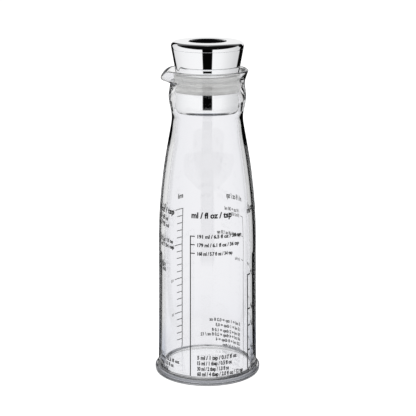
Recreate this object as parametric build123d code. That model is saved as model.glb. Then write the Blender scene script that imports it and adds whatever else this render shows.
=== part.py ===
from build123d import *
import math
import os

# Salad dressing shaker: a clear moulded bottle with a welded base disc, closed by a push-in
# stopper with a silicone seal. Millimetres, +Z up, origin on the table under the axis, the
# pouring lip towards -X. A name that ends in _drop is a depth below the bottle's rim, and one
# that ends in _z is a height above the table.

# Bottle: heights
bottle_height = 186.0
foot_flare_height = 6.15
foot_edge_height = 0.6
body_top_drop = 102.0
bore_top_drop = 114.0
shoulder_drop = 48.5
throat_drop = 32.0
throat_land = 1.2
waist_drop = 27.2
seat_low_drop = 23.5
bead_drop = 15.4
groove_drop = 8.2
seat_top_drop = 7.6

# Bottle: inside radii
base_bore_radius = 26.95
body_bore_radius = 26.2
seat_low_radius = 19.5
seat_taper = 0.3
throat_step = 1.4
shoulder_spread = 2.65

# Bottle: walls and what stands out from them
body_wall = 3.15
foot_flare = 2.1
shoulder_wall = 3.65
throat_wall = 3.0
neck_wall = 2.2
bead_height = 0.85
mouth_flare = 2.4
rim_wall = 1.8

# Pouring lip: half widths, and depths below the rim, at its root, on the rim and at its tip
lip_reach = 3.4
lip_root_half_width = 12.4
lip_rim_half_width = 6.6
lip_tip_half_width = 2.4
lip_root_depth = 8.6
lip_rim_depth = 7.7
lip_tip_depth = 6.6
lip_wall = 1.4
trough_root_depth = 7.0
lip_dip = 4.4
lip_dip_run = 5.6

# Base disc: a flange under the wall and a plug in the bore
joint_gap = 0.05
flange_thickness = 1.5
flange_step = 0.1
plug_clearance = 0.1
floor_thickness = 2.6
floor_recess = 1.4
floor_round = 0.6
standing_ring_width = 3.0
standing_ring_round = 0.5

# Stopper: where it sits, and its grip
grip_base_drop = 2.7
grip_height = 19.1
grip_shoulder = 1.65
grip_flare = 3.4
grip_wall = 1.7
top_edge_round = 2.8
top_side_land = 1.1
top_wall = 1.8
top_step_height = 1.4
top_fit_clearance = 0.05
well_gap = 2.5
well_depth = 25.0
well_wall = 1.6
well_lip_round = 1.2
well_foot_round = 2.0

# Stopper: seat tube, seal and cup
seal_thickness = 2.7
seal_space = 10.1
seal_web_share = 0.9
seal_lip_count = 3
seal_land_share = 0.18
seal_bore_clearance = 0.08
seal_end_clearance = 0.08
seal_neck_clearance = 0.12
seat_tube_wall = 1.6
cup_height = 12.0
cup_wall = 1.8
cup_clearance = 0.05
cup_floor = 1.8
cup_round = 4.2
tube_end_clearance = 0.4
snap_height = 1.2
snap_depth = 0.35
snap_drop = 3.0

overrun = 1.0

# Worked out from the sizes above
throat_radius = seat_low_radius - throat_step
shoulder_bore_radius = throat_radius + shoulder_spread
seat_top_radius = seat_low_radius + seat_taper
mouth_radius = seat_top_radius + mouth_flare
rim_radius = mouth_radius + rim_wall
groove_radius = seat_top_radius + neck_wall
foot_radius = base_bore_radius + body_wall + foot_flare
seat_low_z = bottle_height - seat_low_drop
seat_top_z = bottle_height - seat_top_drop
groove_z = bottle_height - groove_drop
lip_tip_reach = rim_radius + lip_reach
lip_root_reach = seat_low_radius - overrun
floor_z = floor_recess + floor_thickness
seat_tube_radius = seat_low_radius - seal_thickness
grip_base_radius = seat_tube_radius + grip_shoulder
well_radius = seat_tube_radius - seat_tube_wall - well_gap - well_wall
grip_base_z = bottle_height - grip_base_drop
stopper_top_z = grip_base_z + grip_height
cup_top_z = grip_base_z - seal_space
cup_bottom_z = cup_top_z - cup_height


def seat_radius(z):
    """Radius of the neck's slightly conical seat at height z."""
    share = (z - seat_low_z) / (seat_top_z - seat_low_z)
    return seat_low_radius + share * seat_taper


def grip_radius(z):
    """Outside radius of the grip's cone at height z."""
    return grip_base_radius + grip_flare * (z - grip_base_z) / grip_height


def top_seam_z():
    """Height of the seam between shell and top, a short land below the top's rounded edge."""
    lean = math.atan2(grip_flare, grip_height)
    round_drop = top_edge_round * math.tan(math.pi / 4 + lean / 2) * math.cos(lean)
    return stopper_top_z - round_drop - top_side_land


def turned(sketch):
    """Solid of revolution of a sketch drawn in the XZ plane."""
    return revolve(sketch.sketch, axis=Axis.Z, revolution_arc=360)


def bottle_outside():
    """Outer form of the bottle without its lip: foot flare, shoulder, waist, bead and rim."""
    seam_z = flange_thickness + joint_gap
    edge_z = seam_z + foot_edge_height
    flare_top_z = edge_z + foot_flare_height
    body_foot_radius = base_bore_radius + body_wall
    body_top_radius = body_bore_radius + body_wall
    body_top_z = bottle_height - body_top_drop
    shoulder_z = bottle_height - shoulder_drop
    body_slope = (body_top_radius - body_foot_radius) / (body_top_z - flare_top_z)
    rim_slope = (rim_radius - groove_radius) / groove_drop
    rim_round = rim_wall / 2
    rim_z = bottle_height - rim_round
    with BuildSketch(Plane.XZ) as sketch:
        with BuildLine():
            Polyline((0, seam_z), (foot_radius, seam_z), (foot_radius, edge_z))
            TangentArc(
                (body_foot_radius, flare_top_z),
                (foot_radius, edge_z),
                tangent=(-body_slope, -1),
            )
            Line((body_foot_radius, flare_top_z), (body_top_radius, body_top_z))
            shoulder = TangentArc(
                (body_top_radius, body_top_z),
                (shoulder_bore_radius + shoulder_wall, shoulder_z),
                tangent=(body_slope, 1),
            )
            Spline(
                (shoulder_bore_radius + shoulder_wall, shoulder_z),
                (throat_radius + throat_wall, bottle_height - waist_drop),
                (groove_radius + bead_height, bottle_height - bead_drop),
                (groove_radius, groove_z),
                (rim_radius, rim_z),
                tangents=(shoulder % 1, (rim_slope, 1)),
            )
            ThreePointArc(
                (rim_radius, rim_z),
                (mouth_radius + rim_round, bottle_height),
                (mouth_radius, rim_z),
            )
            Polyline((mouth_radius, rim_z), (0, rim_z), (0, seam_z))
        make_face()
    return turned(sketch)


def bottle_inside():
    """Space inside the bottle, from below its foot to above its rim."""
    bore_top_z = bottle_height - bore_top_drop
    shoulder_z = bottle_height - shoulder_drop
    throat_z = bottle_height - throat_drop
    land_top_z = throat_z + throat_land
    bore_slope = (body_bore_radius - base_bore_radius) / bore_top_z
    seat_slope = seat_taper / (seat_top_z - seat_low_z)
    mouth_slope = mouth_flare / seat_top_drop
    mouth_z = bottle_height - rim_wall / 2
    high = bottle_height + overrun
    with BuildSketch(Plane.XZ) as sketch:
        with BuildLine():
            Polyline((0, 0), (base_bore_radius, 0), (body_bore_radius, bore_top_z))
            shoulder = TangentArc(
                (body_bore_radius, bore_top_z),
                (shoulder_bore_radius, shoulder_z),
                tangent=(bore_slope, 1),
            )
            Spline(
                (shoulder_bore_radius, shoulder_z),
                (throat_radius, throat_z),
                tangents=(shoulder % 1, (0, 1)),
            )
            Line((throat_radius, throat_z), (throat_radius, land_top_z))
            Spline(
                (throat_radius, land_top_z),
                (seat_low_radius, seat_low_z),
                tangents=((0, 1), (seat_slope, 1)),
            )
            Line((seat_low_radius, seat_low_z), (seat_top_radius, seat_top_z))
            Spline(
                (seat_top_radius, seat_top_z),
                (mouth_radius, mouth_z),
                tangents=((seat_slope, 1), (mouth_slope, 1)),
            )
            Polyline((mouth_radius, mouth_z), (mouth_radius, high), (0, high), (0, 0))
        make_face()
    return turned(sketch)


def lip_section(reach, half_width, depth, high):
    """U-shaped section across the pouring lip, its floor at depth below the rim."""
    floor = bottle_height - depth
    corner = floor + min(half_width, depth) * math.sin(math.radians(45))
    across = Plane(origin=(-reach, 0, 0), x_dir=(0, 1, 0), z_dir=(1, 0, 0))
    with BuildSketch(across) as sketch:
        with BuildLine():
            ThreePointArc((-half_width, corner), (0, floor), (half_width, corner))
            Polyline(
                (half_width, corner), (half_width, high), (-half_width, high), (-half_width, corner)
            )
        make_face()
    return sketch.sketch


def lip_form():
    """Outer form of the pouring lip, from inside the neck to its tip."""
    high = bottle_height - rim_wall / 2
    sections = [
        lip_section(lip_root_reach, lip_root_half_width, lip_root_depth, high),
        lip_section(rim_radius, lip_rim_half_width, lip_rim_depth, high),
        lip_section(lip_tip_reach, lip_tip_half_width, lip_tip_depth, high),
    ]
    return loft(sections)


def lip_trough():
    """Space of the channel in the pouring lip."""
    high = bottle_height + overrun
    tip_depth = lip_tip_depth - lip_wall
    sections = [
        lip_section(lip_root_reach, lip_root_half_width - lip_wall, trough_root_depth, high),
        lip_section(rim_radius, lip_rim_half_width - lip_wall, lip_rim_depth - lip_wall, high),
        lip_section(lip_tip_reach, lip_tip_half_width - lip_wall, tip_depth, high),
    ]
    return loft(sections)


def lip_dip_cutter():
    """Space above the rim where it dips towards the tip of the lip."""
    start = lip_tip_reach - lip_dip_run
    far = lip_tip_reach + overrun
    high = bottle_height + 2 * overrun
    low = bottle_height - lip_dip
    with BuildSketch(Plane.XZ) as sketch:
        with BuildLine():
            Spline(
                (-start, bottle_height),
                (-lip_tip_reach, low),
                tangents=((-1, 0), (-1, -1)),
            )
            Polyline(
                (-lip_tip_reach, low),
                (-far, low - overrun),
                (-far, high),
                (-start, high),
                (-start, bottle_height),
            )
        make_face()
    return extrude(sketch.sketch, amount=rim_radius, both=True)


def bottle_body():
    """Moulded bottle, open at the foot, with a pouring lip on its rim."""
    body = bottle_outside() + lip_form()
    body -= bottle_inside()
    body -= lip_trough()
    body -= lip_dip_cutter()
    return body


def base_disc():
    """Disc that closes the foot: flange, plug, and a ring to stand on."""
    plug_radius = base_bore_radius - plug_clearance
    flange_radius = foot_radius - flange_step
    ring_inner = flange_radius - standing_ring_width
    with BuildSketch(Plane.XZ) as sketch:
        with BuildLine():
            Polyline(
                (0, floor_recess),
                (ring_inner - floor_recess, floor_recess),
                (ring_inner, 0),
                (flange_radius, 0),
                (flange_radius, flange_thickness),
                (plug_radius, flange_thickness),
                (plug_radius, floor_z),
                (0, floor_z),
                (0, floor_recess),
            )
        make_face()
        feet = sketch.vertices().group_by(Axis.Y)[0]
        fillet(feet, standing_ring_round)
        plug_corner = sketch.vertices().group_by(Axis.Y)[-1].sort_by(Axis.X)[-1]
        fillet(plug_corner, floor_round)
    return turned(sketch)


def stopper_shell():
    """Chromed shell: conical grip, shoulder above the seal, and the tube that carries it."""
    rim_z = top_seam_z()
    ledge_z = rim_z - top_step_height
    cup_floor_z = cup_bottom_z + cup_floor
    tube_end_z = cup_floor_z + tube_end_clearance
    tube_bore = seat_tube_radius - seat_tube_wall
    snap_z = cup_top_z - snap_drop
    with BuildSketch(Plane.XZ) as sketch:
        with BuildLine():
            Polyline(
                (grip_radius(rim_z), rim_z),
                (grip_radius(rim_z) - grip_wall / 2, rim_z),
                (grip_radius(rim_z) - grip_wall / 2, ledge_z),
                (grip_radius(ledge_z) - grip_wall, ledge_z),
                (grip_base_radius - grip_wall, grip_base_z),
                (tube_bore, grip_base_z - seat_tube_wall),
                (tube_bore, tube_end_z),
                (seat_tube_radius, tube_end_z),
                (seat_tube_radius, snap_z - snap_height),
                (seat_tube_radius + snap_depth, snap_z - snap_height / 2),
                (seat_tube_radius, snap_z),
                (seat_tube_radius, grip_base_z),
                (grip_base_radius, grip_base_z),
                (grip_radius(rim_z), rim_z),
            )
        make_face()
    return turned(sketch)


def stopper_top():
    """Chromed disc that closes the grip, with a rounded edge and the well for a finger."""
    rim_z = top_seam_z()
    ledge_z = rim_z - top_step_height
    ceiling_z = stopper_top_z - top_wall
    spigot_radius = grip_radius(rim_z) - grip_wall / 2 - top_fit_clearance
    well_floor_z = stopper_top_z - well_depth
    tube_radius = well_radius + well_wall
    with BuildSketch(Plane.XZ) as sketch:
        with BuildLine():
            Polyline(
                (0, well_floor_z),
                (well_radius, well_floor_z),
                (well_radius, stopper_top_z),
                (grip_base_radius + grip_flare, stopper_top_z),
                (grip_radius(rim_z + joint_gap), rim_z + joint_gap),
                (spigot_radius, rim_z + joint_gap),
                (spigot_radius, ledge_z + joint_gap),
                (spigot_radius - top_wall, ledge_z + joint_gap),
                (spigot_radius - top_wall, ceiling_z),
                (tube_radius, ceiling_z),
                (tube_radius, well_floor_z - well_wall),
                (0, well_floor_z - well_wall),
                (0, well_floor_z),
            )
        make_face()
        tops = sketch.vertices().group_by(Axis.Y)[-1].sort_by(Axis.X)
        well_foot = sketch.vertices().sort_by_distance((well_radius, well_floor_z, 0))[0]
        fillet(tops[-1], top_edge_round)
        fillet(tops[0], well_lip_round)
        fillet(well_foot, well_foot_round)
    return turned(sketch)


def stopper_bottom():
    """Chromed cup that snaps over the end of the seat tube and holds the seal from below."""
    cup_floor_z = cup_bottom_z + cup_floor
    bore = seat_tube_radius + cup_clearance
    cup_radius = bore + cup_wall
    snap_z = cup_top_z - snap_drop
    with BuildSketch(Plane.XZ) as sketch:
        with BuildLine():
            Polyline(
                (0, cup_bottom_z),
                (cup_radius, cup_bottom_z),
                (cup_radius, cup_top_z),
                (bore, cup_top_z),
                (bore, snap_z),
                (bore + snap_depth, snap_z - snap_height / 2),
                (bore, snap_z - snap_height),
                (bore, cup_floor_z),
                (0, cup_floor_z),
                (0, cup_bottom_z),
            )
        make_face()
        foot = sketch.vertices().group_by(Axis.Y)[0].sort_by(Axis.X)[-1]
        fillet(foot, cup_round)
    return turned(sketch)


def seal_ring():
    """Silicone sleeve whose rounded lips press on the neck's seat."""
    inner = seat_tube_radius + seal_bore_clearance
    sleeve = seat_tube_radius + seal_thickness * seal_web_share
    low = grip_base_z - seal_space + seal_end_clearance
    high = grip_base_z - seal_end_clearance
    pitch = (high - low) / seal_lip_count
    land = pitch * seal_land_share
    with BuildSketch(Plane.XZ) as sketch:
        with BuildLine():
            Polyline((sleeve, low), (inner, low), (inner, high), (sleeve, high))
            for index in range(seal_lip_count):
                start = low + index * pitch
                end = start + pitch
                middle = (start + end) / 2
                crest = seat_radius(middle) - seal_neck_clearance
                Line((sleeve, start), (sleeve, start + land))
                ThreePointArc((sleeve, start + land), (crest, middle), (sleeve, end - land))
                Line((sleeve, end - land), (sleeve, end))
        make_face()
    return turned(sketch)


def main():
    """Build every piece and write one STEP file for each."""
    os.makedirs("parts", exist_ok=True)
    pieces = {
        "bottle_body": bottle_body(),
        "base_disc": base_disc(),
        "seal_ring": seal_ring(),
        "stopper_shell": stopper_shell(),
        "stopper_top": stopper_top(),
        "stopper_bottom": stopper_bottom(),
    }
    for name, piece in pieces.items():
        export_step(piece, f"parts/{name}.step")


main()
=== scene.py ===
import math

import bmesh
import bpy
import numpy as np
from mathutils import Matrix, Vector


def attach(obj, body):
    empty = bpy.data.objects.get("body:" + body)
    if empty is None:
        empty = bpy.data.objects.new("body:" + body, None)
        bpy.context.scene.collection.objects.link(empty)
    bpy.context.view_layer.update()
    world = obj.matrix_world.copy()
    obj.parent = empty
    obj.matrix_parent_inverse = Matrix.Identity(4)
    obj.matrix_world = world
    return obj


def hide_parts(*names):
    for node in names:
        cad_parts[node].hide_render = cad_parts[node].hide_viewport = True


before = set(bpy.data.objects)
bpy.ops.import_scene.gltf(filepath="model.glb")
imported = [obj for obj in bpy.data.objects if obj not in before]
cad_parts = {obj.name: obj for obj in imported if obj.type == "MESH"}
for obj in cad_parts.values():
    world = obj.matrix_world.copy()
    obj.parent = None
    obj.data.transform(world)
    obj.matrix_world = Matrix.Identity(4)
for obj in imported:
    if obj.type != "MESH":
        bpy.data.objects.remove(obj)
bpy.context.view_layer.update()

MM = 0.001

# Sizes in millimetres. A point is (radius from the bottle's axis, height above the table), and so
# is a direction. A lean is the change of the radius for each millimetre up.

# Bottle outside, from the foot up
FOOT_RADIUS = 32.2
WELD_EDGE = (31.7, 1.5)
FOOT_EDGE = (FOOT_RADIUS, 1.85)
FOOT_EDGE_ROUND = 0.12
FOOT_TOP = (FOOT_RADIUS, 2.3)
FLARE_TOP = (30.1, 7.0)
BODY_TOP = (29.35, 84.0)
BODY_LEAN = (29.35 - 30.1) / (84.0 - 8.3)
SHOULDER_TOP = (24.4, 137.5)
NECK = [(22.05, 150.6), (21.15, 158.8), (22.85, 170.6)]
GROOVE = (22.0, 177.8)

# Bottle inside, from the seat of the seal down
SEAT_TOP = (19.8, 178.4)
SEAT_LOW = (19.5, 162.5)
THROAT = (18.95, 158.0)
THROAT_LOW = (19.15, 152.5)
SEAT_DIRECTION = (-0.02, -1)
THROAT_DIRECTION = (0.1, -1)
SHOULDER_INSIDE = (20.75, 137.5)
BORE_TOP = (26.2, 72.0)
BORE_LOW = (26.91, 4.0)
BORE_LEAN = (26.2 - 26.95) / 72.0

# Rim and pouring lip. The powers shape the lip's outline, its wall and its dip.
RIM_Z = 186.0
RIM_RADIUS = 24.0
RIM_WALL = 1.8
LIP_EXTRA_WALL = 0.3
LIP_REACH = 3.4
LIP_TIP_TURN = math.radians(5)
LIP_SPREAD = math.radians(42)
LIP_DIP = 3.5
LIP_DIP_RUN = 5.6
REACH_POWER = 1.5
FULL_POWER = 0.55
DIP_POWER = 2.3

# Handles of the curves from the groove to the rim and from the rim to the seat: each first for
# the plain rim, then for the lip's tip. Radii of the two at the rim are from the rim's edge.
GROOVE_HANDLE = ((22.0, 180.2), (22.6, 178.7))
RIM_OUTER_HANDLE = ((-0.65, 182.7), (0.6, 178.4))
RIM_INNER_HANDLE = ((-0.6, 182.7), (0.3, 179.9))
SEAT_HANDLE = ((19.9, 180.6), (21.8, 179.5))

# Base disc
RECESS_RADIUS = 27.7
RECESS_Z = 1.4
RECESS_ROUND = 0.6
STANDING_INNER_RADIUS = 29.1
STANDING_INNER_ROUND = 0.5
DISC_RADIUS = 32.1
DISC_ROUND = 0.6
DISC_EDGE_Z = 1.15

# Stopper
GRIP_BASE_Z = 183.3
STOPPER_TOP_Z = 202.4
GRIP_BASE_RADIUS = 18.45
GRIP_TOP_RADIUS = 21.85
GRIP_WALL = 1.7
TOP_ROUND = 2.8
SEAM_LAND = 1.1
STEP_HEIGHT = 1.4
STEP_DEPTH = 0.85
SPIGOT_DEPTH = 0.9
TOP_WALL = 1.8
TUBE_RADIUS = 16.8
TUBE_WALL = 1.6
TUBE_END_Z = 163.4
WELL_RADIUS = 11.1
WELL_FLOOR_Z = 177.4
WELL_WALL = 1.6
WELL_FOOT_ROUND = 2.0
WELL_MOUTH_ROUND = 0.5
WELL_BLACK = (WELL_FLOOR_Z - 0.1, STOPPER_TOP_Z - 0.45)
WELL_BLACK_RADIUS = WELL_RADIUS + 0.03
CUP_RADIUS = 18.65
CUP_TOP_Z = 173.2
CUP_BOTTOM_Z = 161.2
CUP_WALL = 1.8
CUP_TAPER_Z = 165.2
CUP_TAPER_END = (16.65, 161.5)
CUP_TAPER_DIRECTION = (-0.34, -1)
CUP_FLAT_RADIUS = 16.35

# Seal
SEAL_LOW_Z = 173.28
SEAL_HIGH_Z = 183.22
SEAL_INNER_RADIUS = 16.88
SLEEVE_RADIUS = 19.5
SEAL_LIPS = 3
SEAL_LAND_SHARE = 0.18
SEAL_CLEARANCE = 0.12

ROUND_STEPS = 256


# Profiles

def arc_between(start, end, centre, steps):
    """Points of the shorter arc from start to end round centre, without its first point."""
    a0 = math.atan2(start[1] - centre[1], start[0] - centre[0])
    a1 = math.atan2(end[1] - centre[1], end[0] - centre[0])
    sweep = (a1 - a0 + math.pi) % (2 * math.pi) - math.pi
    radius = math.dist(start, centre)
    points = []
    for i in range(1, steps + 1):
        a = a0 + sweep * i / steps
        points.append((centre[0] + radius * math.cos(a), centre[1] + radius * math.sin(a)))
    return points


def tangent_arc(start, end, tangent, steps):
    """Points of the arc that leaves start along tangent and ends at end, without start."""
    tx, tz = tangent
    length = math.hypot(tx, tz)
    nx, nz = -tz / length, tx / length
    dx, dz = end[0] - start[0], end[1] - start[1]
    radius = (dx * dx + dz * dz) / (2 * (dx * nx + dz * nz))
    centre = (start[0] + radius * nx, start[1] + radius * nz)
    return arc_between(start, end, centre, steps)


def direction(start, end):
    return (end[0] - start[0], end[1] - start[1])


def spline(points, first, last, steps):
    """Points of a cubic spline through points with end directions, without its first point."""
    p = np.array(points, float)
    chord = np.linalg.norm(np.diff(p, axis=0), axis=1)
    n = len(p)
    a = np.zeros((n, n))
    b = np.zeros((n, 2))
    a[0, 0] = a[-1, -1] = 1
    b[0] = np.array(first) / np.linalg.norm(first)
    b[-1] = np.array(last) / np.linalg.norm(last)
    for i in range(1, n - 1):
        h0, h1 = chord[i - 1], chord[i]
        a[i, i - 1] = h1
        a[i, i] = 2 * (h0 + h1)
        a[i, i + 1] = h0
        b[i] = 3 * (h1 * (p[i] - p[i - 1]) / h0 + h0 * (p[i + 1] - p[i]) / h1)
    m = np.linalg.solve(a, b)
    out = []
    for i in range(n - 1):
        h = chord[i]
        count = max(2, round(steps * h / chord.sum()))
        for k in range(1, count + 1):
            t = k / count
            h00 = 2 * t ** 3 - 3 * t ** 2 + 1
            h10 = t ** 3 - 2 * t ** 2 + t
            h01 = -2 * t ** 3 + 3 * t ** 2
            h11 = t ** 3 - t ** 2
            q = h00 * p[i] + h10 * h * m[i] + h01 * p[i + 1] + h11 * h * m[i + 1]
            out.append((q[0], q[1]))
    return out


def run(start, end, steps):
    """Points of a straight run, without start."""
    return [
        (start[0] + (end[0] - start[0]) * i / steps, start[1] + (end[1] - start[1]) * i / steps)
        for i in range(1, steps + 1)
    ]


def rounded(points, closed=False, steps=6):
    """A polyline of (radius, height, corner radius) points with its corners rounded."""
    out = []
    count = len(points)
    for i, (r, z, radius) in enumerate(points):
        if radius == 0 or (not closed and i in (0, count - 1)):
            out.append((r, z))
            continue
        before = points[i - 1]
        after = points[(i + 1) % count]
        a = Vector((before[0] - r, before[1] - z)).normalized()
        b = Vector((after[0] - r, after[1] - z)).normalized()
        angle = a.angle(b)
        back = radius / math.tan(angle / 2)
        start = Vector((r, z)) + a * back
        end = Vector((r, z)) + b * back
        centre = Vector((r, z)) + (a + b).normalized() * (radius / math.sin(angle / 2))
        out.append(tuple(start))
        out += arc_between(start, end, centre, steps)
    return out


def bezier(p0, p1, p2, p3, steps):
    """Points of a cubic Bezier curve, without its first point."""
    out = []
    for i in range(1, steps + 1):
        t = i / steps
        w = ((1 - t) ** 3, 3 * t * (1 - t) ** 2, 3 * t * t * (1 - t), t ** 3)
        out.append(tuple(sum(k * p[j] for k, p in zip(w, (p0, p1, p2, p3))) for j in (0, 1)))
    return out


# Meshes

def new_object(name, verts, faces, mat, body, node=None):
    """Mesh object, smooth shaded, riding on a body and standing for a CAD node."""
    mesh = bpy.data.meshes.new(name)
    mesh.from_pydata([tuple(c * MM for c in v) for v in verts], [], faces)
    mesh.validate()
    mesh.shade_smooth()
    obj = bpy.data.objects.new(name, mesh)
    bpy.context.scene.collection.objects.link(obj)
    obj.data.materials.append(mat)
    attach(obj, body)
    if node:
        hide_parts(node)
    return obj


def lathe(loops, angles, closed=False):
    """Vertices and faces of a surface whose profile is given for each angle.

    Points with no radius are shared by all angles, so a disc closes at the axis.
    """
    verts = []
    index = []
    for k, (loop, angle) in enumerate(zip(loops, angles)):
        row = []
        for j, (r, z) in enumerate(loop):
            if r < 1e-9 and k > 0:
                row.append(index[0][j])
                continue
            row.append(len(verts))
            verts.append((r * math.cos(angle), r * math.sin(angle), z))
        index.append(row)
    faces = []
    count = len(angles)
    length = len(loops[0])
    for k in range(count):
        a, b = index[k], index[(k + 1) % count]
        for j in range(length if closed else length - 1):
            i = (j + 1) % length
            face = []
            for v in (a[j], b[j], b[i], a[i]):
                if v not in face:
                    face.append(v)
            if len(face) > 2:
                faces.append(tuple(face))
    return verts, faces


def add_lathe(verts, faces, profile, angles):
    """Adds a surface turned from one profile, and returns the number of its faces."""
    more, ring = lathe([profile] * len(angles), angles)
    first = len(verts)
    faces.extend(tuple(first + i for i in face) for face in ring)
    verts.extend(more)
    return len(ring)


def full_circle():
    return [2 * math.pi * k / ROUND_STEPS for k in range(ROUND_STEPS)]


def outward(profile):
    """The profile in the order that gives faces whose normals point out of the solid."""
    area = sum(a[0] * b[1] - b[0] * a[1] for a, b in zip(profile, profile[1:] + profile[:1]))
    return profile if area > 0 else profile[::-1]


def turned(name, profile, mat, body, node, closed=False):
    """Round piece turned from one profile."""
    verts, faces = lathe([outward(profile)] * ROUND_STEPS, full_circle(), closed)
    return new_object(name, verts, faces, mat, body, node)


def paint(obj, mat, faces):
    """Gives some of an object's faces one more material."""
    obj.data.materials.append(mat)
    for face in faces:
        face.material_index = len(obj.data.materials) - 1


def faces_between(obj, low, high, inner=0.0, outer=math.inf):
    """Faces whose centres lie between two heights and between two radii, in millimetres."""
    found = []
    for face in obj.data.polygons:
        x, y, z = face.center / MM
        if low < z < high and inner <= math.hypot(x, y) < outer:
            found.append(face)
    return found


# Nodes

def plug(tree, value, socket):
    """Sets a socket to a number or colour, or links it to another node's output."""
    if isinstance(value, (int, float, tuple)):
        socket.default_value = value
    else:
        tree.links.new(value, socket)


def calculate(tree, operation, *values, clamp=False):
    """Maths node whose inputs are numbers or the outputs of other nodes."""
    node = tree.nodes.new("ShaderNodeMath")
    node.operation = operation
    node.use_clamp = clamp
    for value, socket in zip(values, node.inputs):
        plug(tree, value, socket)
    return node.outputs[0]


def blend(tree, share, a, b, mode="MIX"):
    """Mix of two colours, which are given or come from other nodes."""
    node = tree.nodes.new("ShaderNodeMixRGB")
    node.blend_type = mode
    for value, socket in zip((share, a, b), node.inputs):
        plug(tree, value, socket)
    return node.outputs[0]


def ramp(tree, value, stops):
    """Colour for a value, from a ramp of (position, colour) stops."""
    node = tree.nodes.new("ShaderNodeValToRGB")
    elements = node.color_ramp.elements
    while len(elements) > 1:
        elements.remove(elements[-1])
    elements[0].position, elements[0].color = stops[0]
    for position, color in stops[1:]:
        elements.new(position).color = color
    tree.links.new(value, node.inputs[0])
    return node.outputs[0]


def grey(v):
    return (v, v, v, 1.0)


# Materials

def material(name, values):
    """Material of one Principled shader, with these values on its sockets."""
    mat = bpy.data.materials.new(name)
    mat.use_nodes = True
    tree = mat.node_tree
    tree.nodes.clear()
    out = tree.nodes.new("ShaderNodeOutputMaterial")
    bsdf = tree.nodes.new("ShaderNodeBsdfPrincipled")
    tree.links.new(bsdf.outputs[0], out.inputs[0])
    for socket, value in values.items():
        bsdf.inputs[socket].default_value = value
    return mat, tree, bsdf


def noise(tree, coords, scale, detail=2.0):
    node = tree.nodes.new("ShaderNodeTexNoise")
    node.inputs["Scale"].default_value = scale
    node.inputs["Detail"].default_value = detail
    tree.links.new(coords, node.inputs["Vector"])
    return node.outputs[0]


def varied(name, socket, stops, scale, values, detail=2.0):
    """Material of which one socket varies over the surface, by noise through a ramp."""
    mat, tree, bsdf = material(name, values)
    coords = tree.nodes.new("ShaderNodeTexCoord").outputs["Object"]
    tree.links.new(ramp(tree, noise(tree, coords, scale, detail), stops), bsdf.inputs[socket])
    return mat


def clear_plastic():
    """Clear moulded plastic: faint flow waves, a slight tint, and painted shade at its edges."""
    mat, tree, bsdf = material("clear_plastic", {
        "Roughness": 0.0, "IOR": 1.5, "Transmission Weight": 1.0,
    })
    # painted shade: the colour turns darker where the surface is seen edge-on
    facing = tree.nodes.new("ShaderNodeLayerWeight")
    facing.inputs["Blend"].default_value = 0.5
    edge_tint_and_shade = ramp(tree, facing.outputs["Facing"], [
        (0.0, (1.0, 1.0, 1.0, 1)), (0.7, (0.985, 0.99, 1.0, 1)), (1.0, (0.7, 0.72, 0.75, 1)),
    ])
    tree.links.new(edge_tint_and_shade, bsdf.inputs["Base Color"])
    coords = tree.nodes.new("ShaderNodeTexCoord")
    stretch = tree.nodes.new("ShaderNodeMapping")
    stretch.inputs["Scale"].default_value = (1.0, 1.0, 0.25)
    tree.links.new(coords.outputs["Object"], stretch.inputs[0])
    bump = tree.nodes.new("ShaderNodeBump")
    bump.inputs["Strength"].default_value = 0.05
    bump.inputs["Distance"].default_value = 0.0006
    waves = noise(tree, stretch.outputs[0], 55.0, detail=1.0)
    tree.links.new(waves, bump.inputs["Height"])
    tree.links.new(bump.outputs[0], bsdf.inputs["Normal"])
    return mat


def frosted_shaded_plastic():
    """Matt plastic of the welded seam and of the edge that the bottle stands on.

    Its dark grey is painted shade, for the dark lines along the seam and the foot's edge.
    """
    # painted shade: a dark grey that draws dark lines at the seam and along the foot's edge
    stops = [(0.3, (0.16, 0.165, 0.18, 1)), (0.7, (0.26, 0.27, 0.29, 1))]
    return varied("frosted_shaded_plastic", "Base Color", stops, 400.0, {
        "Roughness": 0.45, "IOR": 1.5, "Transmission Weight": 0.8,
    })


def fused_plastic():
    """Inside of the weld, where wall and disc are one plastic, so that nothing shows there."""
    stops = [(0.3, grey(0.9)), (0.7, grey(0.94))]
    return varied("fused_plastic", "Base Color", stops, 5.0, {"Alpha": 0.0})


def chrome():
    """Bright plated metal with very faint, fine polishing variation."""
    stops = [(0.3, grey(0.012)), (0.7, grey(0.04))]
    return varied("chrome", "Roughness", stops, 140.0, {
        "Base Color": (0.93, 0.935, 0.95, 1), "Metallic": 1.0,
    }, detail=3.0)


def well_black():
    """Near-black inside of the well, satin and a little uneven."""
    stops = [(0.3, grey(0.3)), (0.7, grey(0.45))]
    return varied("well_black", "Roughness", stops, 200.0, {
        "Base Color": (0.004, 0.004, 0.005, 1), "Specular IOR Level": 0.2,
    })


def silicone():
    """Milky, satin silicone that lets some of what is behind it through."""
    stops = [(0.35, (0.90, 0.90, 0.885, 1)), (0.65, (0.95, 0.95, 0.935, 1))]
    return varied("silicone", "Base Color", stops, 90.0, {
        "Roughness": 0.3, "IOR": 1.41, "Transmission Weight": 0.55,
    })


def ink():
    """Screen-printed dark grey ink, a little thinner in places."""
    stops = [(0.3, grey(0.004)), (0.75, grey(0.02))]
    return varied("ink", "Base Color", stops, 900.0, {
        "Roughness": 0.55, "Specular IOR Level": 0.2,
    })


# Bottle

def lip_reach(theta):
    """Reach of the rim's outline at an angle from the lip: a broad spout with a rounded tip."""
    away = math.hypot(theta, LIP_TIP_TURN) - LIP_TIP_TURN
    return RIM_RADIUS + LIP_REACH * max(0.0, 1 - away / LIP_SPREAD) ** REACH_POWER


def handle(pair, full, edge=0.0):
    """Handle between that of the plain rim and that of the lip's tip, its radius from edge."""
    (r0, z0), (r1, z1) = pair
    r0, r1 = edge + r0, edge + r1
    return (r0 + (r1 - r0) * full, z0 + (z1 - z0) * full)


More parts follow.
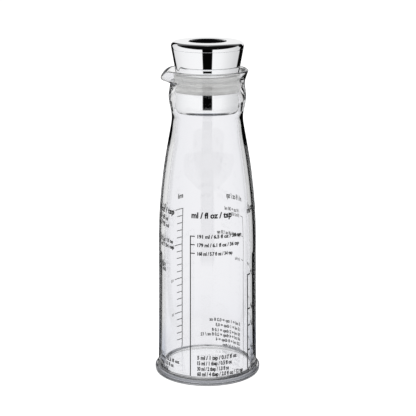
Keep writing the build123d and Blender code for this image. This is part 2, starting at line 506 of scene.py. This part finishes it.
def mouth_profile(theta):
    """Profile over the rim at an angle from the lip, from the groove outside to the seat."""
    reach = lip_reach(theta)
    full = ((reach - RIM_RADIUS) / LIP_REACH) ** FULL_POWER
    along = (reach * math.cos(theta) - (RIM_RADIUS + LIP_REACH - LIP_DIP_RUN)) / LIP_DIP_RUN
    top = RIM_Z - LIP_DIP * max(0.0, along) ** DIP_POWER
    wall = RIM_WALL + LIP_EXTRA_WALL * full
    half = wall / 2
    crest = top - half
    outer, inner = (reach, crest), (reach - wall, crest)
    out = bezier(
        GROOVE,
        handle(GROOVE_HANDLE, full),
        handle(RIM_OUTER_HANDLE, full, reach),
        outer,
        steps=16,
    )
    steps = 10
    for i in range(1, steps + 1):
        a = math.pi * i / steps
        out.append((reach - half + half * math.cos(a), crest + half * math.sin(a)))
    return out + bezier(
        inner,
        handle(RIM_INNER_HANDLE, full, inner[0]),
        handle(SEAT_HANDLE, full),
        SEAT_TOP,
        steps=16,
    )


def bottle_loop(theta):
    """Profile of the bottle's wall at an angle from the lip, from outside the weld to inside."""
    points = rounded([(*WELD_EDGE, 0), (*FOOT_EDGE, FOOT_EDGE_ROUND), (*FOOT_TOP, 0)], steps=4)
    points += tangent_arc(FLARE_TOP, FOOT_TOP, (-BODY_LEAN, -1), 14)[-2::-1]
    points.append(FLARE_TOP)
    points += run(FLARE_TOP, BODY_TOP, 22)
    shoulder = tangent_arc(BODY_TOP, SHOULDER_TOP, (BODY_LEAN, 1), 22)
    points += shoulder
    leave = direction(shoulder[-2], shoulder[-1])
    points += spline([SHOULDER_TOP, *NECK, GROOVE], leave, (0.0, 1.0), 40)
    points += mouth_profile(theta)
    points += run(SEAT_TOP, SEAT_LOW, 8)
    points += spline([SEAT_LOW, THROAT, THROAT_LOW], SEAT_DIRECTION, THROAT_DIRECTION, 16)
    shoulder = tangent_arc(BORE_TOP, SHOULDER_INSIDE, (BORE_LEAN, 1), 24)
    leave = direction(shoulder[-1], shoulder[-2])
    points += spline([THROAT_LOW, SHOULDER_INSIDE], THROAT_DIRECTION, leave, 16)
    points += shoulder[-2::-1]
    points.append(BORE_TOP)
    points += run(BORE_TOP, BORE_LOW, 18)
    return points


# The weld between wall and disc, in both of their meshes: faces inside the plastic.
WELD = [BORE_LOW, (BORE_LOW[0], WELD_EDGE[1]), WELD_EDGE]

# Frosted faces with painted shade: the groove outside the weld, on both pieces, and the edge
# that the bottle stands on. Heights from and to, and the radius that they lie outside.
GROOVE_ON_WALL = (1.4, 1.8)
GROOVE_ON_DISC = (1.2, 1.6)
GROOVE_INNER_RADIUS = 31.65
STANDING_EDGE = (0.01, 0.45)
STANDING_EDGE_INNER_RADIUS = 31.4

# Up to this angle from the lip, in degrees, the rows of points are close together. The two rows
# at that angle are in both numbers.
NEAR_LIP = 50
NEAR_ROWS = 151
OTHER_ROWS = 196


def bottle_body(mat, matt_shaded, fused):
    near = np.linspace(-NEAR_LIP, NEAR_LIP, NEAR_ROWS)
    rest = np.linspace(NEAR_LIP, 360 - NEAR_LIP, OTHER_ROWS)[1:-1]
    thetas = [math.radians(a) for a in (*near, *rest)]
    loops = [bottle_loop(((t + math.pi) % (2 * math.pi)) - math.pi) for t in thetas]
    angles = [t + math.pi for t in thetas]
    verts, faces = lathe(loops, angles)
    count = add_lathe(verts, faces, WELD, angles)
    obj = new_object(
        "bottle_clear_wall", verts, faces, mat, "bottle", "bottle_body",
    )
    paint(obj, fused, obj.data.polygons[-count:])
    # frosted groove, with its painted shade
    paint(obj, matt_shaded, faces_between(obj, *GROOVE_ON_WALL, inner=GROOVE_INNER_RADIUS))
    return obj


def base_disc(mat, matt_shaded, fused):
    under = rounded([
        (0, RECESS_Z, 0),
        (RECESS_RADIUS, RECESS_Z, RECESS_ROUND),
        (STANDING_INNER_RADIUS, 0, STANDING_INNER_ROUND),
        (DISC_RADIUS, 0, DISC_ROUND),
        (DISC_RADIUS, DISC_EDGE_Z, FOOT_EDGE_ROUND),
        (*WELD_EDGE, 0),
    ])
    angles = full_circle()
    verts, faces = [], []
    add_lathe(verts, faces, under, angles)
    add_lathe(verts, faces, [BORE_LOW, (0, BORE_LOW[1])], angles)
    count = add_lathe(verts, faces, WELD[::-1], angles)
    obj = new_object(
        "base_clear_disc", verts, faces, mat, "bottle", "base_disc",
    )
    paint(obj, fused, obj.data.polygons[-count:])
    # frosted groove and standing edge, with their painted shade
    paint(obj, matt_shaded, faces_between(obj, *GROOVE_ON_DISC, inner=GROOVE_INNER_RADIUS))
    paint(obj, matt_shaded, faces_between(obj, *STANDING_EDGE, inner=STANDING_EDGE_INNER_RADIUS))
    return obj


# Stopper

def grip_radius(z):
    """Outside radius of the grip's cone."""
    share = (z - GRIP_BASE_Z) / (STOPPER_TOP_Z - GRIP_BASE_Z)
    return GRIP_BASE_RADIUS + share * (GRIP_TOP_RADIUS - GRIP_BASE_RADIUS)


def seam_z():
    """Height of the seam between grip and top, a short land below the top's rounded edge."""
    lean = math.atan2(GRIP_TOP_RADIUS - GRIP_BASE_RADIUS, STOPPER_TOP_Z - GRIP_BASE_Z)
    drop = TOP_ROUND * math.tan(math.pi / 4 + lean / 2) * math.cos(lean)
    return STOPPER_TOP_Z - drop - SEAM_LAND


def stopper_shell(mat):
    rim = seam_z()
    ledge = rim - STEP_HEIGHT
    step = grip_radius(rim) - STEP_DEPTH
    bore = TUBE_RADIUS - TUBE_WALL
    profile = rounded([
        (grip_radius(rim), rim, 0.02),
        (step, rim, 0.05),
        (step, ledge, 0.05),
        (grip_radius(ledge) - GRIP_WALL, ledge, 0.1),
        (GRIP_BASE_RADIUS - GRIP_WALL, GRIP_BASE_Z, 0.3),
        (bore, GRIP_BASE_Z - TUBE_WALL, 0.3),
        (bore, TUBE_END_Z, 0.2),
        (TUBE_RADIUS, TUBE_END_Z, 0.3),
        (TUBE_RADIUS, GRIP_BASE_Z, 0.15),
        (GRIP_BASE_RADIUS, GRIP_BASE_Z, 0.35),
    ], closed=True)
    return turned(
        "stopper_chrome_grip", profile, mat, "stopper", "stopper_shell", closed=True,
    )


def stopper_top(mat, dark):
    rim = seam_z()
    ledge = rim - STEP_HEIGHT
    spigot = grip_radius(rim) - SPIGOT_DEPTH
    spigot_bore = spigot - TOP_WALL
    under = STOPPER_TOP_Z - TOP_WALL
    well_outside = WELL_RADIUS + WELL_WALL
    well_bottom = WELL_FLOOR_Z - WELL_WALL
    profile = rounded([
        (0, WELL_FLOOR_Z, 0),
        (WELL_RADIUS, WELL_FLOOR_Z, WELL_FOOT_ROUND),
        (WELL_RADIUS, STOPPER_TOP_Z, WELL_MOUTH_ROUND),
        (GRIP_TOP_RADIUS, STOPPER_TOP_Z, TOP_ROUND),
        (grip_radius(rim), rim, 0.25),
        (spigot, rim, 0.05),
        (spigot, ledge, 0.1),
        (spigot_bore, ledge, 0.1),
        (spigot_bore, under, 0.5),
        (well_outside, under, 0.5),
        (well_outside, well_bottom, 1.0),
        (0, well_bottom, 0),
    ], steps=12)
    obj = turned("stopper_chrome_top", profile, mat, "stopper", "stopper_top")
    paint(obj, dark, faces_between(obj, *WELL_BLACK, outer=WELL_BLACK_RADIUS))
    return obj


def stopper_bottom(mat):
    bore = CUP_RADIUS - CUP_WALL
    floor = CUP_BOTTOM_Z + CUP_WALL
    taper = tangent_arc((CUP_RADIUS, CUP_TAPER_Z), CUP_TAPER_END, CUP_TAPER_DIRECTION, 12)
    profile = rounded([
        (0, CUP_BOTTOM_Z, 0),
        (CUP_FLAT_RADIUS, CUP_BOTTOM_Z, 0.2),
        *[(r, z, 0) for r, z in reversed(taper)],
        (CUP_RADIUS, CUP_TAPER_Z, 0),
        (CUP_RADIUS, CUP_TOP_Z, 0.25),
        (bore, CUP_TOP_Z, 0.2),
        (bore, floor, 1.5),
        (0, floor, 0),
    ], steps=14)
    return turned("stopper_chrome_cup", profile, mat, "stopper", "stopper_bottom")


def seat_radius(z):
    """Radius of the neck's slightly conical seat, carried on above it."""
    share = (z - SEAT_LOW[1]) / (SEAT_TOP[1] - SEAT_LOW[1])
    return SEAT_LOW[0] + share * (SEAT_TOP[0] - SEAT_LOW[0])


def seal_ring(mat):
    """Sleeve with rounded lips, each between two narrow lands."""
    low, high = SEAL_LOW_Z, SEAL_HIGH_Z
    inner, sleeve = SEAL_INNER_RADIUS, SLEEVE_RADIUS
    pitch = (high - low) / SEAL_LIPS
    land = pitch * SEAL_LAND_SHARE
    points = [(inner, high)] + run((inner, high), (inner, low), 8)
    points += run((inner, low), (sleeve, low), 3)
    for i in range(SEAL_LIPS):
        start = low + i * pitch
        middle = start + pitch / 2
        foot, head = (sleeve, start + land), (sleeve, start + pitch - land)
        half = (head[1] - foot[1]) / 2
        crest = seat_radius(middle) - SEAL_CLEARANCE
        rise = crest - sleeve
        radius = (half * half + rise * rise) / (2 * rise)
        points += run((sleeve, start), foot, 2)
        points += arc_between(foot, head, (crest - radius, middle), 12)
        points += run(head, (sleeve, start + pitch), 2)
    points += run((sleeve, high), (inner, high), 3)[:-1]
    return turned(
        "seal_silicone_sleeve", points, mat, "seal", "seal_ring", closed=True,
    )


# Print. An azimuth is in degrees from the front, and across is in millimetres round the wall,
# both counted to the right as seen from outside.

PRINT_LIFT = 0.03
BAR_STEP_ACROSS = 0.8
BAR_STEP_UP = 2.5
BRACKET_LINE = 0.62
TICK_LENGTH = 2.7

# Height of a capital in the built-in font at size 1, and how much its strokes are thickened
FONT_CAP = 0.72
ROW_BOLD = 0.05
HEADING_BOLD = 0.045
FIGURE_BOLD = 0.02

ROW_ACROSS = 4.2
ROW_CAP = 2.1
ROW_DROP = 1.4

# The scale: its upper tick, and the height in the bore of one tick's amount
SCALE_TOP = 96.5
SCALE_STEP = 4.524
SCALE_ML = 200
TICK_ML = 10
TICKS_A_FIGURE = 5
SCALE_AZIMUTH = 216.1
SCALE_LOW = 4.2
SCALE_HIGH = SCALE_TOP + 0.25
SCALE_HALF_LINE = 0.36
TICK_HALF_LINE = 0.28
LONG_TICK = 7.4
SHORT_TICK = 5.1
FIGURE_ACROSS = 8.6
FIGURE_DROP = 1.0
FIGURE_CAP = 1.8
FIGURE_WIDTH = 1.2

FL_OZ = 29.57
TSP = 5

# Outline of the wall from the flare up, for the print
PRINTED_WALL = [
    FLARE_TOP, BODY_TOP, *tangent_arc(BODY_TOP, SHOULDER_TOP, (BODY_LEAN, 1), 60),
]


def wall_radius(z):
    """Outside radius of the bottle's wall where the print lies."""
    if z < FLARE_TOP[1]:
        share = (FLARE_TOP[1] - z) / (FLARE_TOP[1] - FOOT_TOP[1])
        return FLARE_TOP[0] + (FOOT_RADIUS - FLARE_TOP[0]) * share ** 2
    radii, heights = zip(*PRINTED_WALL)
    return float(np.interp(z, heights, radii))


def on_wall(azimuth, across, z):
    """Point of the print on the wall."""
    radius = wall_radius(z) + PRINT_LIFT
    angle = math.radians(azimuth) + across / radius
    return (radius * math.sin(angle), -radius * math.cos(angle), z)


def bar(verts, faces, azimuth, x0, x1, z0, z1):
    """Printed bar, cut finely enough to follow the wall."""
    nx = max(1, math.ceil(abs(x1 - x0) / BAR_STEP_ACROSS))
    nz = max(1, math.ceil(abs(z1 - z0) / BAR_STEP_UP))
    base = len(verts)
    for j in range(nz + 1):
        for i in range(nx + 1):
            verts.append(on_wall(azimuth, x0 + (x1 - x0) * i / nx, z0 + (z1 - z0) * j / nz))
    for j in range(nz):
        for i in range(nx):
            a = base + j * (nx + 1) + i
            faces.append((a, a + 1, a + nx + 2, a + nx + 1))


def words(verts, faces, text, azimuth, across, z, cap, width, bold=ROW_BOLD):
    """Printed line of characters whose capitals are cap high and whose length is width."""
    curve = bpy.data.curves.new("line", "FONT")
    curve.body = text
    curve.size = 1.0
    curve.offset = bold
    curve.resolution_u = 3
    obj = bpy.data.objects.new("line", curve)
    bpy.context.scene.collection.objects.link(obj)
    depsgraph = bpy.context.evaluated_depsgraph_get()
    mesh = bpy.data.meshes.new_from_object(obj.evaluated_get(depsgraph))
    bpy.data.objects.remove(obj)
    bpy.data.curves.remove(curve)
    work = bmesh.new()
    work.from_mesh(mesh)
    bpy.data.meshes.remove(mesh)
    bmesh.ops.triangulate(work, faces=work.faces)
    xs = [v.co.x for v in work.verts]
    left, right = min(xs), max(xs)
    scale_z = cap / FONT_CAP
    scale_x = width / (right - left)
    base = len(verts)
    for v in work.verts:
        x = across + (v.co.x - left) * scale_x
        verts.append(on_wall(azimuth, x, z + v.co.y * scale_z))
    for f in work.faces:
        faces.append(tuple(base + v.index for v in f.verts))
    work.free()


def bracket(verts, faces, azimuth, bottom, ticks, line):
    """Upright line from the first tick down to bottom, with its ticks to the right."""
    bar(verts, faces, azimuth, -line / 2, line / 2, bottom, ticks[0])
    for z in ticks:
        bar(verts, faces, azimuth, line / 2, TICK_LENGTH, z - line, z)


def print_scale(mat):
    """Millilitre scale at the back."""
    verts, faces = [], []
    azimuth = SCALE_AZIMUTH
    bar(verts, faces, azimuth, -SCALE_HALF_LINE, SCALE_HALF_LINE, SCALE_LOW, SCALE_HIGH)
    for i in range(SCALE_ML // TICK_ML):
        z = SCALE_TOP - i * SCALE_STEP
        is_long = i % TICKS_A_FIGURE == 0
        length = LONG_TICK if is_long else SHORT_TICK
        low, high = z - TICK_HALF_LINE, z + TICK_HALF_LINE
        bar(verts, faces, azimuth, SCALE_HALF_LINE, length, low, high)
        if is_long:
            figure = str(SCALE_ML - TICK_ML * i)
            width = FIGURE_WIDTH * len(figure)
            words(
                verts, faces, figure, azimuth, FIGURE_ACROSS, z - FIGURE_DROP, FIGURE_CAP, width,
                FIGURE_BOLD,
            )
    words(verts, faces, "ml", azimuth, 0.2, 103.4, 3.0, 5.0)
    return new_object("print_scale", verts, faces, mat, "bottle")


def amount(z, units=3):
    """Amount in the bottle up to a height, in the first units of the three."""
    ml = round(SCALE_ML - (SCALE_TOP - z) * TICK_ML / SCALE_STEP)
    return " / ".join((f"{ml} ml", f"{ml / FL_OZ:.1f} fl oz", f"{round(ml / TSP)} tsp")[:units])


def beside(tick, width, units=3):
    """Row beside a tick, with the amount there."""
    return (tick - ROW_DROP, amount(tick, units), width)


def print_field(
    name, mat, azimuth, bottom, ticks, heading, rows, foot_rows=(), foot_cap=ROW_CAP,
    line=BRACKET_LINE,
):
    """Field of print: a bracket, the units over it, and rows of words beside it.

    heading is (across, z, cap, width), and a row is (z, text, width).
    """
    verts, faces = [], []
    bracket(verts, faces, azimuth, bottom, ticks, line)
    words(verts, faces, "ml / fl oz / tsp", azimuth, *heading, HEADING_BOLD)
    for cap, lines in ((ROW_CAP, rows), (foot_cap, foot_rows)):
        for z, text, width in lines:
            words(verts, faces, text, azimuth, ROW_ACROSS, z, cap, width)
    return new_object(name, verts, faces, mat, "bottle")


def print_front(mat):
    rows = [beside(92.3, 27.9), beside(87.2, 26.0), beside(82.0, 21.4)]
    foot_rows = [
        (16.1, "5 ml / 1 tsp / 0.17 fl oz", 25.0),
        (12.6, "15 ml / 1 tbsp / 0.5 fl oz", 21.6),
        (9.1, "30 ml / 2 tbsp / 1.0 fl oz", 19.6),
        (5.8, "60 ml / 4 tbsp / 2.0 fl oz / 12 tsp", 30.0),
    ]
    return print_field(
        "print_front", mat, azimuth=-19.8, bottom=5.4, ticks=(92.3, 87.2, 82.0),
        heading=(0.4, 102.9, 3.4, 24.4), rows=rows, foot_rows=foot_rows, foot_cap=2.35,
    )


def print_right(mat):
    ticks = (65.7, 44.2, 33.7, 18.1)
    rows = [beside(tick, 24.0) for tick in ticks] + [
        (12.2, "5 ml / 1 tsp", 12.0),
        (8.7, "15 ml / 1 tbsp", 14.0),
        (5.2, "30 ml / 2 tbsp", 14.0),
    ]
    return print_field(
        "print_right", mat, azimuth=54.0, bottom=4.6, ticks=ticks,
        heading=(0.2, 102.9, 3.4, 22.0), rows=rows, line=0.95,
    )


def print_back(mat):
    rows = [
        (94.9, "1 fl oz = 30 ml", 13.0),
        beside(93.4, 10.0, units=2),
        beside(80.8, 19.0),
        beside(65.1, 5.0, units=2),
        (20.6, "5 ml = 1 tsp = 0.2 fl oz", 25.0),
        (17.1, "15 ml = 1 tbsp = 0.5", 20.5),
        (13.6, "30 ml = 2 tbsp = 1.0 fl", 23.0),
        (10.6, "60 ml = 4 tbsp = 2.0 fl oz / 12", 31.0),
        (7.3, "120 ml = 8 tbsp = 4", 20.5),
        (3.9, "240 ml = 16 tbsp", 16.0),
    ]
    return print_field(
        "print_back", mat, azimuth=122.0, bottom=2.9, ticks=(93.4, 80.8, 65.1),
        heading=(0.4, 102.8, 3.2, 15.0), rows=rows, line=0.5,
    )


def print_left(mat):
    rows = [
        (98.6, "1 fl oz = 30 ml", 16.6),
        (94.6, "1 tbsp = 15 ml", 17.8),
        (85.7, amount(85.7), 22.0),
        (82.3, "= 170 ml / 34 tsp", 23.0),
        (70.2, "142 ml / 4.8 f", 15.2),
        (67.2, "= 142 ml", 15.2),
        (11.6, "5 ml / 1 tsp / 0.2 fl oz", 27.7),
        (8.4, "15 ml / 1 tbsp / 0.5 fl oz", 23.3),
        (5.4, "30 ml / 2 tbsp / 1.0 fl", 18.4),
    ]
    return print_field(
        "print_left", mat, azimuth=-94.8, bottom=4.6, ticks=(87.1, 71.6),
        heading=(0.2, 103.1, 3.4, 25.8), rows=rows,
    )


# Studio. Lengths are in metres, and an azimuth is in degrees from the front, positive to the
# right. Ray depths are whole numbers, so the two limits lie between two of them.

DARK = 0.002
BACK = 0.92
BEHIND = (0.86, 0.86, 0.89, 1)
NO_FRONT_GAP = 0.95

ONCE = 0.5
BOTH_WALLS = 2.5

# Pale boards beside the object: (azimuth, grey)
LEFT_BOARDS = [(-120, 0.83), (-90, 0.93), (-60, 0.98), (-17, 1.0)]
RIGHT_BOARDS = [(17, 1.0), (45, 0.97), (75, 0.83), (105, 0.71)]
FRONT_GAP = 15.5

# Height of the boards' top edge in the world, as the sine of its elevation, the grey above it,
# and how sharp the edge is
BOARD_TOPS = [
    (-180, 0.66), (-165, 0.5), (-135, 0.5), (-90, 0.34), (-60, 0.22), (-45, 0.15), (-30, 0.08),
    (30, 0.06), (60, 0.16), (90, 0.27), (120, 0.35), (148, 0.4), (152, 0.6), (180, 0.66),
]
CEILING = [(-180, 0.3), (-150, 0.2), (-110, 0.004), (110, 0.004), (150, 0.2), (180, 0.3)]
EDGE_SLOPE = 25.0

# For rays inside the plastic: the grey of the gaps and the height from which they have it, how
# much lower the boards end, and the grey above them. Then the height below which rays that go
# straight through both walls see what is behind.
GAP_IN_PLASTIC = 0.4
GAP_IN_PLASTIC_FROM = 0.15
LOWER_IN_PLASTIC = 0.28
CEILING_IN_PLASTIC = 0.03
BEHIND_UP_TO = 0.1

# Shade on the floor under and round the foot: (distance from the axis times 8, colour)
CONTACT_SCALE = 8.0
CONTACT = [
    (0.0, (0.36, 0.37, 0.4, 1)), (0.208, (0.36, 0.37, 0.4, 1)),
    (0.228, (0.19, 0.195, 0.215, 1)), (0.264, (0.19, 0.195, 0.215, 1)),
    (0.288, (0.25, 0.26, 0.3, 1)), (0.36, (0.45, 0.47, 0.54, 1)),
    (0.48, (0.7, 0.74, 0.84, 1)), (0.96, grey(1.0)),
]
FLOOR_HALF = 6.0
FLOOR_GREY = 0.35
GLOW_AT_FOOT = 0.87
GLOW_RISE = 0.25

# Where the floor's gaps start beside the axis, and how sharply that begins behind it
GAP_SIDE = 0.03
REAR_SLOPE = 50.0

# Distance at which the floor goes over from its near boards to its far ones
FAR_FLOOR = 0.3
FAR_SLOPE = 100.0

PICTURE_WIDTH = 416
FOCAL_PIXELS = 1285.76
SENSOR_WIDTH = 36
CAMERA_PLACE = (0, -0.7501, 0.2938)
CAMERA_DOWN = 14.356
CAMERA_TURN = -0.0267


def ring(tree, share, stops):
    """Grey round the object, from stops of (azimuth, grey)."""
    return ramp(tree, share, [((azimuth + 180) / 360, grey(v)) for azimuth, v in stops])


def azimuth_share(tree, x, y):
    """Azimuth of a direction or place as a share of the turn, with the front at the middle."""
    turn = calculate(tree, "ARCTAN2", x, calculate(tree, "MULTIPLY", y, -1.0))
    return calculate(tree, "MULTIPLY_ADD", turn, 0.5 / math.pi, 0.5)


def boards(tree, share, left, right, front_gap=True, dark=DARK):
    """Brightness of the studio round the object: pale boards with dark gaps between them.

    left and right are the ends of the dark gaps behind the object. Another can be in front.
    """
    front = DARK if front_gap else NO_FRONT_GAP
    return ring(tree, share, [
        (-180, BACK), (left[0] - 1, BACK), (left[0] + 1, dark), (left[1] - 1, dark),
        (left[1] + 1, 0.76), *LEFT_BOARDS,
        (-FRONT_GAP, front), (FRONT_GAP, front),
        *RIGHT_BOARDS, (right[0] - 1, 0.68),
        (right[0] + 1, dark), (right[1] - 1, dark), (right[1] + 1, BACK), (180, BACK),
    ])


def straight_through(tree, path):
    """1 for a ray that has passed through the bottle's walls and has not been mirrored."""
    unmirrored = calculate(tree, "LESS_THAN", path.outputs["Glossy Depth"], ONCE)
    passed = calculate(tree, "GREATER_THAN", path.outputs["Transmission Depth"], BOTH_WALLS)
    return calculate(tree, "MULTIPLY", unmirrored, passed)


def studio_world():
    """World that the camera sees as white, and chrome and plastic as boards and a dark ceiling."""
    world = bpy.data.worlds.new("studio")
    bpy.context.scene.world = world
    world.use_nodes = True
    tree = world.node_tree
    tree.nodes.clear()
    coords = tree.nodes.new("ShaderNodeTexCoord")
    split = tree.nodes.new("ShaderNodeSeparateXYZ")
    tree.links.new(coords.outputs["Generated"], split.inputs[0])
    x, y, height = split.outputs
    path = tree.nodes.new("ShaderNodeLightPath")
    depth = path.outputs["Transmission Depth"]
    entered = calculate(tree, "GREATER_THAN", depth, ONCE)

    share = azimuth_share(tree, x, y)
    left, right = (-167, -145), (120, 150)
    walls = boards(tree, share, left, right)
    paler = boards(tree, share, left, right, dark=GAP_IN_PLASTIC)
    raised = calculate(tree, "GREATER_THAN", height, GAP_IN_PLASTIC_FROM)
    walls = blend(tree, calculate(tree, "MULTIPLY", entered, raised), walls, paler)
    above = calculate(tree, "SUBTRACT", height, ring(tree, share, BOARD_TOPS))
    above = calculate(tree, "MULTIPLY_ADD", entered, LOWER_IN_PLASTIC, above)
    shade = calculate(tree, "MULTIPLY_ADD", above, EDGE_SLOPE, 0.5, clamp=True)
    not_through = calculate(tree, "LESS_THAN", depth, BOTH_WALLS)
    ceiling = blend(tree, entered, ring(tree, share, CEILING), grey(CEILING_IN_PLASTIC))
    seen = blend(tree, calculate(tree, "MULTIPLY", shade, not_through), walls, ceiling)

    horizon = calculate(tree, "LESS_THAN", height, BEHIND_UP_TO)
    straight = calculate(tree, "MULTIPLY", straight_through(tree, path), horizon)
    seen = blend(tree, straight, seen, BEHIND)
    back = tree.nodes.new("ShaderNodeBackground")
    seen = blend(tree, path.outputs["Is Camera Ray"], seen, grey(1.0))
    tree.links.new(seen, back.inputs[0])
    out = tree.nodes.new("ShaderNodeOutputWorld")
    tree.links.new(back.outputs[0], out.inputs[0])


def mirrored_floor(tree, path, place, distance):
    """Floor as chrome and plastic see it: the boards and gaps, and the shade under the foot."""
    split = tree.nodes.new("ShaderNodeSeparateXYZ")
    tree.links.new(place, split.inputs[0])
    x, y = split.outputs[0], split.outputs[1]

    # behind the object the gaps start at its sides, in front at its axis
    side = calculate(tree, "MAXIMUM", calculate(tree, "MINIMUM", x, GAP_SIDE), -GAP_SIDE)
    rear = calculate(tree, "MULTIPLY", y, REAR_SLOPE, clamp=True)
    shift = calculate(tree, "MULTIPLY", side, rear)
    share = azimuth_share(tree, calculate(tree, "SUBTRACT", x, shift), y)

    # of each pair, rays inside the plastic see the first, and all other rays the second
    near = boards(tree, share, (-173, -145), (140, 175), front_gap=False)
    near_outside = boards(tree, share, (-173, -139), (129, 174), front_gap=False)
    far = boards(tree, share, (-174, -157), (147, 176))
    far_outside = boards(tree, share, (-173, -139), (127, 174))
    direct = calculate(tree, "LESS_THAN", path.outputs["Transmission Depth"], ONCE)
    scaled = calculate(tree, "MULTIPLY", distance, CONTACT_SCALE)
    near = blend(tree, 1.0, near, ramp(tree, scaled, CONTACT), mode="MULTIPLY")
    near = blend(tree, direct, near, near_outside)
    far = blend(tree, direct, far, far_outside)
    offset = -FAR_FLOOR * FAR_SLOPE
    beyond = calculate(tree, "MULTIPLY_ADD", distance, FAR_SLOPE, offset, clamp=True)
    board = blend(tree, beyond, near, far)
    return blend(tree, straight_through(tree, path), board, BEHIND)


def floor_material():
    """Floor that the camera sees as pale, with the object's shadow."""
    mat = bpy.data.materials.new("floor")
    mat.use_nodes = True
    tree = mat.node_tree
    tree.nodes.clear()
    place = tree.nodes.new("ShaderNodeNewGeometry").outputs["Position"]
    length = tree.nodes.new("ShaderNodeVectorMath")
    length.operation = "LENGTH"
    tree.links.new(place, length.inputs[0])
    distance = length.outputs["Value"]
    path = tree.nodes.new("ShaderNodeLightPath")
    mirrored = tree.nodes.new("ShaderNodeEmission")
    tree.links.new(mirrored_floor(tree, path, place, distance), mirrored.inputs[0])
    diffuse = tree.nodes.new("ShaderNodeBsdfDiffuse")
    diffuse.inputs[0].default_value = grey(FLOOR_GREY)
    glow = tree.nodes.new("ShaderNodeEmission")
    brightness = calculate(
        tree, "MULTIPLY_ADD", distance, GLOW_RISE, GLOW_AT_FOOT, clamp=True,
    )
    tree.links.new(brightness, glow.inputs["Strength"])
    seen = tree.nodes.new("ShaderNodeAddShader")
    tree.links.new(diffuse.outputs[0], seen.inputs[0])
    tree.links.new(glow.outputs[0], seen.inputs[1])
    pick = tree.nodes.new("ShaderNodeMixShader")
    tree.links.new(path.outputs["Is Camera Ray"], pick.inputs[0])
    tree.links.new(mirrored.outputs[0], pick.inputs[1])
    tree.links.new(seen.outputs[0], pick.inputs[2])
    out = tree.nodes.new("ShaderNodeOutputMaterial")
    tree.links.new(pick.outputs[0], out.inputs[0])
    return mat


def studio_floor():
    half = FLOOR_HALF
    corners = [(-half, -half, 0), (half, -half, 0), (half, half, 0), (-half, half, 0)]
    mesh = bpy.data.meshes.new("floor")
    mesh.from_pydata(corners, [], [(0, 1, 2, 3)])
    floor = bpy.data.objects.new("floor", mesh)
    bpy.context.scene.collection.objects.link(floor)
    floor.data.materials.append(floor_material())


LAMP_TARGET = (0, 0, 0.1)


def lamp(name, place, size, power):
    """Area lamp aimed at the middle of the object, which chrome and plastic don't show."""
    light = bpy.data.lights.new(name, "AREA")
    light.shape = "RECTANGLE"
    light.size, light.size_y = size
    light.energy = power
    obj = bpy.data.objects.new(name, light)
    obj.location = place
    aim = Vector(LAMP_TARGET) - Vector(place)
    obj.rotation_euler = aim.to_track_quat("-Z", "Y").to_euler()
    obj.visible_glossy = False
    obj.visible_transmission = False
    bpy.context.scene.collection.objects.link(obj)


def camera():
    data = bpy.data.cameras.new("camera")
    data.sensor_width = SENSOR_WIDTH
    data.lens = FOCAL_PIXELS / PICTURE_WIDTH * SENSOR_WIDTH
    data.clip_start = 0.01
    obj = bpy.data.objects.new("camera", data)
    obj.location = CAMERA_PLACE
    obj.rotation_euler = (math.radians(90 - CAMERA_DOWN), 0, math.radians(CAMERA_TURN))
    bpy.context.scene.collection.objects.link(obj)
    bpy.context.scene.camera = obj


clear = clear_plastic()
plated = chrome()
rubber = silicone()
printed = ink()
matt_shaded = frosted_shaded_plastic()
fused = fused_plastic()

bottle_body(clear, matt_shaded, fused).visible_shadow = False
base_disc(clear, matt_shaded, fused)
seal_ring(rubber)
stopper_shell(plated)
stopper_top(plated, well_black())
stopper_bottom(plated)
print_scale(printed)
print_front(printed)
print_right(printed)
print_back(printed)
print_left(printed)

studio_floor()
studio_world()
lamp("key", (-0.9, -0.9, 1.5), size=(1.0, 1.0), power=14)
lamp("fill", (0.9, -0.8, 1.4), size=(1.0, 1.0), power=14)
lamp("back", (0, 1.1, 1.5), size=(1.2, 0.8), power=12)
camera()
bpy.context.scene.view_settings.view_transform = "Standard"
bpy.context.scene.cycles.glossy_bounces = 16
bpy.context.scene.cycles.transmission_bounces = 24
bpy.context.scene.cycles.max_bounces = 32
bpy.context.scene.cycles.transparent_max_bounces = 64
